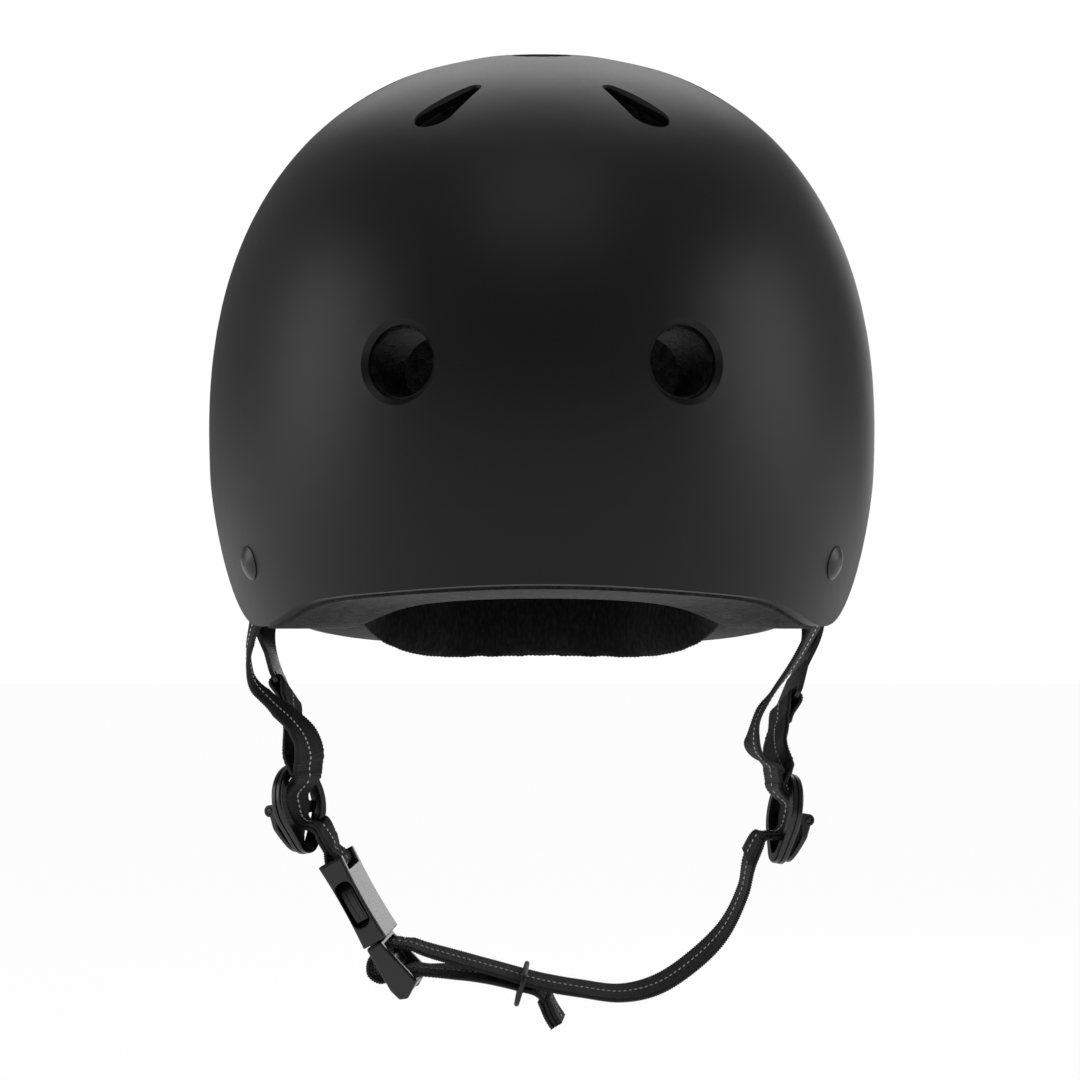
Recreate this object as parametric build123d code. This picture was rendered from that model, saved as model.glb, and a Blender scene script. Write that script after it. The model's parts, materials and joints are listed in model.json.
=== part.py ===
from build123d import *
from math import atan2, cos, degrees, pi, radians, sin, sqrt
import os

# Skateboard helmet, in millimetres. +Z is up, the front looks along -Y and the wearer's left is +X.
# The origin lies on the centre plane, where the crown of the head meets the crown pad.

# Shell: a dome above its widest level and a drawn-in skirt below, pitched nose-down
shell_half_width = 111.5
shell_half_length = 136.0
dome_height = 129.4
dome_power = 2.3
dome_steps = 10
dome_seam = 90.0
skirt_radius = 236.0
skirt_depth = 112.0
shell_wall = 3.0
head_pitch = 10.0
widest_level = -95.5
dome_forward = 4.0
overrun = 2.0

# Rim seen from the side: places from the dome's centre, as shares of its half length and height
rim_shares = [
    (-1.30, -0.326),
    (-1.05, -0.338),
    (-0.853, -0.375),
    (-0.647, -0.410),
    (-0.480, -0.463),
    (-0.345, -0.4525),
    (-0.243, -0.317),
    (-0.140, -0.1235),
    (0.015, -0.0425),
    (0.176, -0.100),
    (0.294, -0.263),
    (0.390, -0.410),
    (0.515, -0.486),
    (0.706, -0.5295),
    (0.971, -0.557),
    (1.30, -0.568),
]

# Vents: two round ones in front and two behind, six drops round the crown and one at the crown
round_vent_radius = 11.5
round_vent_lip = 2.5
round_vent_height = 42.5
round_vent_azimuths = [-24.0, 24.0, 156.0, 204.0]
crown_vent_radius = 8.8
crown_vent_lip = 1.4
drop_end_radius = 6.2
drop_tip_radius = 1.8
drop_span = 19.5
drop_lip = 1.3
drop_inner_share = 0.39
drop_outer_share = 0.60
drop_azimuths = [(26.0, 35.0), (90.0, 90.0), (154.0, 145.0)]
vent_reach = 70.0

# Foam liner
liner_gap = 0.35
liner_thickness = 19.1
liner_show = 0.8
liner_vent_step = 1.0

# Comfort pads on hook discs
hook_radius = 9.0
hook_thickness = 1.0
hook_gap = 0.8
pad_gap = 2.1
pad_thickness = 8.0
pad_end_share = 0.30
pad_channel_share = 0.62
pad_shoulder_share = 0.86
pad_drop_power = 4.0
crown_pad_radius = 31.0
crown_pad_hole = 12.0

# Rivets through the shell, and their washers
rivet_head_radius = 5.6
rivet_head_height = 2.0
rivet_shank_radius = 2.0
rivet_tail_radius = 3.4
rivet_tail_height = 0.9
rivet_clearance = 0.12
washer_radius = 6.0
washer_thickness = 0.8
front_rivet_azimuth = 58.4
front_rivet_height = -28.6
rear_rivet_azimuth = 112.0
rear_rivet_height = -50.0
channel_depth = 9.0
channel_clearance = 4.5
channel_above = 13.0
channel_below = 60.0

# Webbing
webbing_width = 16.0
webbing_layer = 1.5
webbing_gap = 0.7
doubled = 2 * webbing_layer
strap_top = 9.0
strap_straight = 4.0
front_strap_slant = 3.5

# Rear strap hangers
hanger_width = 15.0
hanger_above = 7.5
hanger_reach = 52.0
hanger_foot_width = 20.4
hanger_foot_length = 13.0
hanger_corner = 4.0
hanger_slot_length = 16.8
hanger_slot = 3.6
hanger_bar = 2.4
hanger_course_left = (-0.137, -0.628, -0.766)
hanger_course_right = (0.068, -0.703, -0.708)
hanger_lean_left = (-0.30, -0.60, -0.74)
hanger_lean_right = (0.28, -0.73, -0.62)
# A hanger's bow: share of the way, then outward bulge as a share of its reach
hanger_bow_shares = [(0.38, 0.05), (0.64, 0.08), (0.86, 0.04)]
hanger_sink_share = 0.4

# Dividers: plates that join the webbing, each with a cam lever on its outer face
divider_width = 26.0
divider_height = 30.5
divider_foot_radius = 6.8
divider_thickness = 4.0
divider_ring = 3.2
divider_groove = 0.6
divider_edge = 0.7
arch_bar = 2.0
arch_bar_thickness = 1.7
arch_half_width = 5.6
arch_top = 3.4
arch_peak_radius = 1.4
ear_thickness = 1.8
ear_radius = 2.0
lever_width = 16.2
lever_clearance = 0.3
lever_pin_radius = 1.2
lever_pin_clearance = 0.05
lever_knob_radius = 1.9
lever_pin_up = 0.5
lever_pin_out = 5.3
lever_thickness = 2.0
lever_reach = 14.3
divider_out_right = 81.0
divider_out_left = 81.0
divider_fore = 12.0
divider_level_right = -218.5
divider_level_left = -221.8
divider_turn_right = (0.80, 0.50, 0.17)
divider_turn_left = (0.95, 0.25, 0.17)
divider_axis = (-0.50, 0.80, 0.0)

# Side-release buckle, laid out from the middle of its mouth
mouth_point = (-53.9, -12.0, -261.6)
buckle_lean = 60.8
buckle_roll = 8.0
buckle_width = 24.5
buckle_thickness = 8.9
socket_length = 31.0
socket_waist = 0.6
socket_wall = 1.9
socket_cheek = 3.4
socket_notch = 5.4
socket_bar_radius = 1.5
socket_bar_inset = 1.6
cavity_depth = 23.0
window_length = 16.4
window_height = 6.0
window_centre = 14.9
window_corner = 2.4
window_drop = 0.3
buckle_edge = 0.8
buckle_clearance = 0.4
plug_length = 19.0
plug_wall = 1.5
plug_cheek = 2.6
plug_bar_length = 4.6
plug_bar_thickness = 2.6
plug_bar_centre = 9.2
plug_end_bar_radius = 1.7
plug_end_bar_centre = 18.4
tongue_length = 12.0
tongue_half_width = 1.9
tongue_half_thickness = 1.6
arm_thickness = 4.2
arm_root_radius = 1.3
arm_root_out = 6.2
arm_root_back = 1.1
grip_rib = 0.45
grip_rib_width = 0.8

# Chin strap and keeper
chin_fore = 12.5
chin_half_width = 83.0
chin_level = -222.3
strap_slope = 16.1
end_gap = 0.3
free_end_layers = 3
keeper_place = -6.0
keeper_wire = 1.7
keeper_clearance = 0.65
keeper_opening = 8.0
keeper_corner = 2.4

first_width_share = 0.56
second_width_share = 0.72
strap_spread_share = 0.32
# Front straps at their rivets: steps up the shell, and how much deeper they lie as shares of their thickness
strap_sink_shares = [(1, 0.1), (0.5, 0.05), (0, 0.0), (-0.5, 0.1), (-1, 0.3), (-1.5, 0.6), (-2, 1.0)]

# Strap courses. Upper straps: share of the way, then outward and forward bulge as shares of the span
front_strap_left_shares = [
    (0.29, -0.046, 0.02),
    (0.55, -0.125, 0.05),
    (0.71, -0.147, 0.04),
    (0.88, -0.109, 0.045),
]
front_strap_right_shares = [
    (0.16, 0.083, 0.01),
    (0.33, 0.149, 0.02),
    (0.49, 0.165, 0.02),
    (0.63, 0.106, 0.01),
    (0.76, 0.032, -0.02),
    (0.87, -0.004, -0.02),
]
rear_strap_left_shares = [(0.50, -0.06, 0.16)]
rear_strap_right_shares = [(0.50, -0.02, 0.05)]
# Chin strap from the left divider: leftward and upward of the chin level, as shares of its half width,
# and the roll of its face towards the front in degrees
chin_shares = [
    (0.837, -0.154, 14.0),
    (0.812, -0.284, 18.0),
    (0.731, -0.446, 20.0),
    (0.602, -0.575, 19.0),
    (0.461, -0.665, 16.0),
    (0.319, -0.698, 13.0),
    (0.158, -0.680, 12.0),
    (0.0, -0.652, 12.0),
    (-0.184, -0.600, 10.0),
    (-0.367, -0.549, 9.0),
    (-0.469, -0.520, 8.0),
]
# Its end round the plug, as shares of the plug's length along and across the buckle
plug_loop_shares = [
    (0.258, 0.274),
    (0.190, 0.179),
    (0.158, 0.053),
    (0.165, -0.090),
    (0.240, -0.300),
    (0.455, -0.420),
    (0.655, -0.310),
    (0.685, -0.105),
    (0.675, 0.042),
    (0.735, 0.200),
    (0.925, 0.480),
]
# And the free end back along the chin strap, laid out like the chin strap
free_end_shares = [
    (-0.361, -0.611, 9.0),
    (-0.289, -0.618, 9.5),
    (-0.217, -0.628, 10.0),
    (-0.145, -0.643, 10.5),
    (-0.084, -0.659, 11.0),
    (-0.024, -0.677, 11.0),
    (0.012, -0.712, 11.0),
    (0.036, -0.767, 11.0),
    (0.066, -0.816, 11.0),
]
# Side of the plug's cheeks and outline of an arm, as shares of the plug's length from the mouth
cheek_shares = [
    (0.021, -0.189),
    (0.021, 0.095),
    (0.930, 0.330),
    (1.12, 0.030),
    (1.07, -0.110),
    (0.860, -0.175),
]
arm_shares = [
    (-0.379, 0.442),
    (-0.453, 0.558),
    (-0.737, 0.611),
    (-1.026, 0.589),
    (-1.200, 0.453),
    (-1.158, 0.368),
    (-0.632, 0.337),
]


def profile(inset, height):
    """Radius of the dome at a height, and its outward normal there as radial and upward parts."""
    if height < 0:
        centre = shell_half_width - skirt_radius
        reach = sqrt((skirt_radius - inset) ** 2 - height**2)
        return centre + reach, reach, height
    half_width = shell_half_width - inset
    top = dome_height - inset
    level = height / top
    spread = (1 - level**dome_power) ** (1 / dome_power)
    radial = spread ** (dome_power - 1) / half_width
    upward = level ** (dome_power - 1) / top
    return half_width * spread, radial, upward


def stretch(inset):
    """How much longer than wide the dome is."""
    return (shell_half_length - inset) / (shell_half_width - inset)


dome_frame = Pos(0, -dome_forward, widest_level) * Rot(head_pitch, 0, 0)


def to_row(vector):
    """A direction of the pitched dome, in the part's own frame."""
    tilt = radians(head_pitch)
    turned_y = vector.Y * cos(tilt) - vector.Z * sin(tilt)
    turned_z = vector.Y * sin(tilt) + vector.Z * cos(tilt)
    return Vector(vector.X, turned_y, turned_z)


def dome_point(inset, azimuth, height):
    """A point on the dome inset by a depth; azimuth 0 is the front and 90 the wearer's left."""
    radius, radial, upward = profile(inset, height)
    turn = radians(azimuth)
    point = Vector(radius * sin(turn), -stretch(inset) * radius * cos(turn), height)
    return to_row(point) + Vector(0, -dome_forward, widest_level)


def dome_normal(inset, azimuth, height):
    radius, radial, upward = profile(inset, height)
    turn = radians(azimuth)
    normal = Vector(radial * sin(turn), -radial * cos(turn) / stretch(inset), upward)
    return to_row(normal).normalized()


def dome_plane(inset, azimuth, height):
    """A plane that touches the dome, its Z outwards and its X upwards."""
    normal = dome_normal(inset, azimuth, height)
    upward = Vector(0, 0, 1)
    along = (upward - normal * normal.dot(upward)).normalized()
    return Plane(origin=dome_point(inset, azimuth, height), x_dir=along, z_dir=normal)


def dome(inset):
    """The solid under the dome surface inset by a depth."""
    half_width = shell_half_width - inset
    top = dome_height - inset
    foot = profile(inset, -skirt_depth)[0]
    crown = []
    for step in range(dome_steps + 1):
        angle = pi / 2 * step / dome_steps
        out = half_width * cos(angle) ** (2 / dome_power)
        up = top * sin(angle) ** (2 / dome_power)
        crown.append((out, up))
    crown[-1] = (0, top)
    outline = [
        Spline(*crown, tangents=((0, 1), (-1, 0))),
        TangentArc((half_width, 0), (foot, -skirt_depth), tangent=(0, -1)),
        Line((foot, -skirt_depth), (0, -skirt_depth)),
        Line((0, -skirt_depth), (0, top)),
    ]
    half = Plane.XZ * make_face(outline)
    turned = Rot(0, 0, dome_seam) * revolve(half, axis=Axis.Z)
    return dome_frame * scale(turned, by=(1, stretch(inset), 1))


def under_rim(drop):
    """Everything below the rim's side outline, moved down by a distance."""
    points = []
    for along_share, up_share in rim_shares:
        along = along_share * shell_half_length - dome_forward
        up = widest_level + up_share * dome_height - drop
        points.append((along, up))
    floor = widest_level - 2 * skirt_depth
    first = points[0]
    last = points[-1]
    outline = [
        Spline(*points),
        Line(last, (last[0], floor)),
        Line((last[0], floor), (first[0], floor)),
        Line((first[0], floor), first),
    ]
    side = Plane.YZ * make_face(outline)
    return extrude(side, amount=shell_half_width + overrun, both=True)


def round_tool(radius, lip):
    """A through hole whose mouth flares by the lip."""
    points = [
        (0, -vent_reach),
        (radius, -vent_reach),
        (radius, -lip),
        (radius + lip + overrun, overrun),
        (0, overrun),
    ]
    return revolve(Plane.XZ * make_face(Polyline(*points, close=True)), axis=Axis.Z)


def drop_outline(grow):
    tip = Pos(drop_span / 2, 0) * Circle(drop_tip_radius + grow)
    end = Pos(-drop_span / 2, 0) * Circle(drop_end_radius + grow)
    return make_hull(tip.edges() + end.edges())


def drop_tool(lip, inward):
    """A drop-shaped through hole whose mouth flares by the lip."""
    hole = extrude(drop_outline(-inward), amount=-vent_reach)
    if lip == 0:
        return Pos(0, 0, overrun) * hole
    mouth = loft([Pos(0, 0, -lip) * drop_outline(0), Pos(0, 0, overrun) * drop_outline(lip + overrun)])
    return hole + mouth


def drop_plane(azimuth_tip, azimuth_end):
    """Plane of one drop vent on the shell, its X from the round end to the tip."""
    places = []
    for share, azimuth in ((drop_inner_share, azimuth_tip), (drop_outer_share, azimuth_end)):
        height = dome_height * (1 - share**dome_power) ** (1 / dome_power)
        places.append((dome_point(0, azimuth, height), height))
    tip, end = places[0][0], places[1][0]
    azimuth = (azimuth_tip + azimuth_end) / 2
    share = (drop_inner_share + drop_outer_share) / 2
    height = dome_height * (1 - share**dome_power) ** (1 / dome_power)
    normal = dome_normal(0, azimuth, height)
    along = (tip - end) - normal * normal.dot(tip - end)
    return Plane(origin=dome_point(0, azimuth, height), x_dir=along.normalized(), z_dir=normal)


def vent_tools(lips, inward):
    """All eleven vents as cutting tools."""
    tools = []
    lip = round_vent_lip if lips else 0
    for azimuth in round_vent_azimuths:
        place = dome_plane(0, azimuth, round_vent_height)
        tools.append(place * round_tool(round_vent_radius - inward, lip))
    lip = crown_vent_lip if lips else 0
    tools.append(dome_frame * Pos(0, 0, dome_height) * round_tool(crown_vent_radius - inward, lip))
    lip = drop_lip if lips else 0
    for azimuth_tip, azimuth_end in drop_azimuths:
        for side in (-1, 1):
            tools.append(drop_plane(side * azimuth_tip, side * azimuth_end) * drop_tool(lip, inward))
    return tools


rivet_places = []
for side in (-1, 1):
    rivet_places.append((side * front_rivet_azimuth, front_rivet_height))
    rivet_places.append((side * rear_rivet_azimuth, rear_rivet_height))


def outer_shell():
    shell = dome(0) - dome(shell_wall)
    shell = shell - under_rim(0)
    shell = shell - vent_tools(True, 0)
    holes = []
    for azimuth, height in rivet_places:
        hole = Cylinder(rivet_shank_radius + rivet_clearance, 4 * shell_wall)
        holes.append(dome_plane(0, azimuth, height) * hole)
    return shell - holes


def strap_heading(azimuth):
    """How far a front strap turns from upright on the shell, in degrees about its rivet."""
    way = front_strap_slant if azimuth > 0 else -front_strap_slant
    above = dome_point(shell_wall, azimuth - way, front_rivet_height + strap_top)
    local = dome_plane(shell_wall, azimuth, front_rivet_height).to_local_coords(above)
    return degrees(atan2(local.Y, local.X))


def eps_liner():
    outside = shell_wall + liner_gap
    liner = dome(outside) - dome(outside + liner_thickness)
    liner = liner - under_rim(liner_show)
    for tool in vent_tools(False, liner_vent_step):
        liner = liner - tool
    channels = []
    width = webbing_width + 2 * channel_clearance
    for azimuth, height in rivet_places:
        box = Box(channel_above + channel_below, width, 2 * channel_depth)
        place = dome_plane(shell_wall, azimuth, height)
        turn = strap_heading(azimuth) if height == front_rivet_height else 0
        channels.append(place * Rot(0, 0, turn) * Pos((channel_above - channel_below) / 2, 0, 0) * box)
    for channel in channels:
        liner = liner - channel
    return liner


def pad_section(azimuth, low, high, thickness):
    """Cross-section of a pad: its back follows the liner and its face is crowned."""
    back = shell_wall + liner_gap + liner_thickness + pad_gap
    middle = (low + high) / 2
    bottom = dome_point(back, azimuth, low)
    centre = dome_point(back, azimuth, middle)
    top = dome_point(back, azimuth, high)
    inward = to_row(Vector(-sin(radians(azimuth)), stretch(back) * cos(radians(azimuth)), 0)).normalized()
    crown = centre + inward * thickness
    lower = (bottom + centre) / 2 + inward * thickness * pad_shoulder_share
    upper = (top + centre) / 2 + inward * thickness * pad_shoulder_share
    outline = [ThreePointArc(bottom, centre, top), Spline(top, upper, crown, lower, bottom)]
    return Face(Wire(outline))


def band_pad(first, last, low, high, drop, channels, count):
    """A curved pad from one azimuth to another, thinner at its sewn channels and drawn in at its ends."""
    sections = []
    for step in range(count):
        place = 2 * step / (count - 1) - 1
        azimuth = first + (last - first) * (place + 1) / 2
        ends = abs(place) ** 4
        narrowing = (high - low) * pad_end_share * ends
        thickness = pad_thickness * (1 - (1 - pad_end_share) * ends)
        if step in channels:
            thickness = thickness * pad_channel_share
        lower = low - drop * (1 - abs(place) ** pad_drop_power) + narrowing
        sections.append(pad_section(azimuth, lower, high - narrowing, thickness))
    return loft(sections)


def crown_pad():
    """A crowned ring that leaves the crown vent open."""
    back = shell_wall + liner_gap + liner_thickness + pad_gap
    top = dome_height - back
    half_width = shell_half_width - back

    def surface(radius):
        return top * (1 - (radius / half_width) ** dome_power) ** (1 / dome_power)

    middle = (crown_pad_hole + crown_pad_radius) / 2
    hole = (crown_pad_hole, surface(crown_pad_hole))
    edge = (crown_pad_radius, surface(crown_pad_radius))
    centre = (middle, surface(middle))
    near = ((hole[0] + middle) / 2, (hole[1] + centre[1]) / 2 - pad_thickness * pad_shoulder_share)
    far = ((edge[0] + middle) / 2, (edge[1] + centre[1]) / 2 - pad_thickness * pad_shoulder_share)
    crown = (middle, centre[1] - pad_thickness)
    outline = [ThreePointArc(hole, centre, edge), Spline(edge, far, crown, near, hole)]
    ring = revolve(Plane.XZ * make_face(outline), axis=Axis.Z)
    return dome_frame * scale(ring, by=(1, stretch(back), 1))


# Pads: azimuths and heights of each on the liner
brow_span = (-58.0, 58.0)
brow_heights = (-20.0, 14.0)
rear_span = (113.0, 247.0)
rear_heights = (-66.0, -42.0)
rear_drop = 26.0
side_span = (70.0, 114.0)
side_heights = (6.0, 42.0)
pad_sections = 13
side_pad_sections = 9

# Hook discs: azimuth and height of each on the liner
hook_places = [
    (-38.0, -3.0),
    (0.0, -3.0),
    (38.0, -3.0),
    (138.0, -62.0),
    (180.0, -66.0),
    (222.0, -62.0),
    (82.0, 24.0),
    (102.0, 24.0),
    (-82.0, 24.0),
    (-102.0, 24.0),
    (90.0, 104.4),
    (-90.0, 104.4),
]


def hook_patches():
    back = shell_wall + liner_gap + liner_thickness + hook_gap
    discs = []
    for azimuth, height in hook_places:
        disc = Cylinder(hook_radius, hook_thickness, align=(Align.CENTER, Align.CENTER, Align.MAX))
        discs.append(dome_plane(back, azimuth, height) * disc)
    return Compound(children=discs)


def webbing_inset(share):
    """Depth of a strap's middle inside the shell's outer face; a share of 1 is its inner face."""
    return shell_wall + webbing_gap + share * webbing_layer


def strap_rivets():
    tail_start = shell_wall + 2 * webbing_gap + webbing_layer + washer_thickness + rivet_clearance
    head = rivet_head_radius
    top = rivet_head_height
    ball = (head**2 + top**2) / (2 * top)
    rise = (Align.CENTER, Align.CENTER, Align.MIN)
    cap = Cylinder(head, top, align=rise) & (Pos(0, 0, top - ball) * Sphere(ball))
    rivet = Pos(0, 0, rivet_clearance) * cap
    shank_length = tail_start + rivet_clearance
    low = (Align.CENTER, Align.CENTER, Align.MAX)
    rivet += Pos(0, 0, rivet_clearance) * Cylinder(rivet_shank_radius, shank_length, align=low)
    rivet += Pos(0, 0, -tail_start) * Cylinder(rivet_tail_radius, rivet_tail_height, align=low)
    rivets = []
    for azimuth, height in rivet_places:
        rivets.append(dome_plane(0, azimuth, height) * rivet)
    return Compound(children=rivets)


def rivet_washers():
    depth = shell_wall + 2 * webbing_gap + webbing_layer
    ring = Circle(washer_radius) - Circle(rivet_shank_radius + rivet_clearance)
    washer = Pos(0, 0, -depth) * extrude(ring, amount=-washer_thickness)
    washers = []
    for azimuth, height in rivet_places:
        washers.append(dome_plane(0, azimuth, height) * washer)
    return Compound(children=washers)


def band(stations):
    """Webbing lofted through stations: a point, the direction of its width, a width and a thickness."""
    sections = []
    last = len(stations) - 1
    for number, (point, across, width, thickness) in enumerate(stations):
        before = stations[max(number - 1, 0)][0]
        after = stations[min(number + 1, last)][0]
        along = (after - before).normalized()
        sideways = (across - along * along.dot(across)).normalized()
        section = Plane(origin=point, x_dir=sideways, z_dir=along) * Rectangle(width, thickness)
        sections.append(section)
    return loft(sections)


def divider_plane(side):
    """Frame of one divider: X across the plate, Y up it and Z outwards."""
    level = divider_level_left if side > 0 else divider_level_right
    distance = divider_out_left if side > 0 else divider_out_right
    out, back, down = divider_turn_left if side > 0 else divider_turn_right
    across = Vector(side * divider_axis[0], divider_axis[1], divider_axis[2]) * side
    outward = Vector(side * out, back, -down)
    across = across - outward * (across.dot(outward) / outward.dot(outward))
    origin = Vector(side * distance, -divider_fore, level)
    return Plane(origin=origin, x_dir=across.normalized(), z_dir=outward.normalized())


def plate_outline(shrink):
    shoulder = divider_width / 2
    top = Pos(0, divider_height / 2 - shoulder) * Circle(shoulder - shrink)
    foot = Pos(0, divider_foot_radius - divider_height / 2) * Circle(divider_foot_radius - shrink)
    return make_hull(top.edges() + foot.edges())


def arch_outline(grow):
    """The pointed arch under the bar of a divider."""
    foot_radius = divider_foot_radius - divider_ring
    side_radius = arch_half_width / 2
    peak = Pos(0, arch_top - arch_peak_radius) * Circle(arch_peak_radius + grow)
    left = Pos(-side_radius, -arch_peak_radius) * Circle(side_radius + grow)
    right = Pos(side_radius, -arch_peak_radius) * Circle(side_radius + grow)
    foot = Pos(0, divider_foot_radius - divider_height / 2) * Circle(foot_radius + grow)
    return make_hull(peak.edges() + left.edges() + right.edges() + foot.edges())


def adjuster_frame():
    """Divider plate: a grooved ring with an arch bar across it and two ears for the lever."""
    half = divider_thickness / 2
    plate = extrude(plate_outline(0), amount=half, both=True)
    rims = plate.faces().sort_by(Axis.Z)
    plate = fillet(rims[0].edges() + rims[-1].edges(), divider_edge)
    plate -= extrude(plate_outline(divider_ring), amount=divider_thickness, both=True)
    groove = plate_outline(-overrun) - plate_outline(divider_groove)
    plate -= extrude(groove, amount=divider_groove / 2, both=True)
    bar = (arch_outline(arch_bar) - arch_outline(0)) & plate_outline(divider_ring - divider_groove)
    plate += Pos(0, 0, -half) * extrude(bar, amount=arch_bar_thickness)
    ear_inside = lever_width / 2 + lever_clearance
    ear_base = half - divider_edge
    for side in (-1, 1):
        middle = side * (ear_inside + ear_thickness / 2)
        post_height = lever_pin_out - ear_base
        post = Box(ear_thickness, 2 * ear_radius, post_height, align=(Align.CENTER, Align.CENTER, Align.MIN))
        ear = Pos(middle, lever_pin_up, ear_base) * post
        ear += Pos(middle, lever_pin_up, lever_pin_out) * Rot(0, 90, 0) * Cylinder(ear_radius, ear_thickness)
        hole = Cylinder(lever_pin_radius + lever_pin_clearance, 2 * ear_thickness)
        ear -= Pos(middle, lever_pin_up, lever_pin_out) * Rot(0, 90, 0) * hole
        plate += ear
    return plate


def cam_lever():
    """Lever that lies on the plate and turns about its moulded pins at the top."""
    out = lever_pin_out
    up = lever_pin_up
    knob = lever_knob_radius
    tip = (-lever_reach + lever_thickness / 2, divider_thickness / 2 + lever_clearance + lever_thickness / 2)
    half = lever_thickness / 2
    middle = up - lever_reach / 2
    back = Spline((up, out + knob), (middle, out + knob / 2), (tip[0], tip[1] + half))
    belly = Spline((tip[0], tip[1] - half), (middle, out - knob / 2), (up, out - knob))
    end = ThreePointArc(back @ 1, (tip[0] - lever_thickness / 2, tip[1]), belly @ 0)
    crown = ThreePointArc(belly @ 1, (up + knob, out), back @ 0)
    side = make_face([back, end, belly, crown])
    lever = extrude(Plane.YZ * side, amount=lever_width / 2, both=True)
    corner = lever_width / 3
    top = Pos(0, up + knob) * Rectangle(lever_width, lever_width)
    foot = Pos(0, -lever_reach + corner) * Circle(corner)
    outline = make_hull(top.edges() + foot.edges())
    lever = lever & extrude(outline, amount=2 * lever_pin_out)
    pin = Cylinder(lever_pin_radius, lever_width + 2 * lever_clearance + 2 * ear_thickness)
    return lever + Pos(0, up, out) * Rot(0, 90, 0) * pin


# Webbing in a divider: up and out as shares of the divider's height, and width as a share of the webbing's
divider_course_shares = [
    (0.385, -0.150, 0.97),
    (0.345, -0.147, 0.92),
    (0.300, -0.118, 0.84),
    (0.255, -0.055, 0.80),
    (0.215, 0.010, 0.82),
    (0.158, 0.051, 0.84),
    (0.024, 0.051, 0.80),
    (-0.097, 0.030, 0.54),
    (-0.182, -0.040, 0.48),
    (-0.208, -0.155, 0.52),
]


def divider_point(side, up_share, out_share):
    frame = divider_plane(side)
    return frame.from_local_coords(Vector(0, up_share * divider_height, out_share * divider_height))


def divider_webbing(side):
    """Both straps together, through the divider: out over the arch bar and in again under it."""
    stations = []
    for up_share, out_share, width_share in divider_course_shares:
        point = divider_point(side, up_share, out_share)
        stations.append((point, divider_plane(side).x_dir, width_share * webbing_width, doubled))
    return band(stations)


def strap_course(start, end, shares, side):
    """Points between two places, each a share of the way with an outward and a forward bulge."""
    span = (end - start).length
    points = []
    for way, out_share, fore_share in shares:
        bulge = Vector(side * out_share * span, -fore_share * span, 0)
        points.append(start + (end - start) * way + bulge)
    return points


def blend_across(first, last, share):
    return (first * (1 - share) + last * share).normalized()


def strap_end(side, layer):
    """Where an upper strap meets the divider's webbing: layer -1 lies inside and 1 outside."""
    up_share, out_share, width_share = divider_course_shares[0]
    frame = divider_plane(side)
    up = up_share * divider_height + 2 * end_gap
    points = []
    for extra in (strap_straight, strap_straight / 2, 0):
        apart = (webbing_layer + end_gap) / 2 + strap_spread_share * extra
        local = Vector(0, up + extra, out_share * divider_height + layer * apart)
        points.append(frame.from_local_coords(local))
    return points


def front_webbing(side, shares):
    """Front strap from above its rivet, down inside the shell and back to the divider."""
    depth = shell_wall + webbing_gap + webbing_layer / 2
    azimuth = side * front_rivet_azimuth
    planes = []
    for step, share in strap_sink_shares:
        sunk = depth + share * webbing_layer
        turned = azimuth - side * step * front_strap_slant
        planes.append(dome_plane(sunk, turned, front_rivet_height + step * strap_top))
    points = [plane.origin for plane in planes]
    across = planes[-1].y_dir
    ends = strap_end(side, -1)
    middle = strap_course(points[-1], ends[0], shares, side)
    courses = points + middle + ends
    final = divider_plane(side).x_dir
    if across.dot(final) < 0:
        final = -final
    stations = []
    for number, point in enumerate(courses):
        turn = min(max(number + 1 - len(points), 0) / (len(middle) + 1), 1)
        direction = planes[number].y_dir if number < len(points) else blend_across(across, final, turn)
        stations.append((point, direction, webbing_width, webbing_layer))
    hole = Cylinder(rivet_shank_radius + rivet_clearance, 4 * shell_wall)
    return band(stations) - dome_plane(0, azimuth, front_rivet_height) * hole


def hanger_frame(side):
    """Frame at the foot of a rear hanger: X down it, Y across it and Z outwards."""
    depth = shell_wall + webbing_gap + webbing_layer / 2
    place = dome_plane(depth, side * rear_rivet_azimuth, rear_rivet_height)
    down = Vector(*(hanger_lean_left if side > 0 else hanger_lean_right)).normalized()
    course = Vector(*(hanger_course_left if side > 0 else hanger_course_right)).normalized()
    facing = (place.z_dir - down * down.dot(place.z_dir)).normalized()
    return Plane(origin=place.origin + course * hanger_reach, x_dir=down, z_dir=facing)


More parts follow.
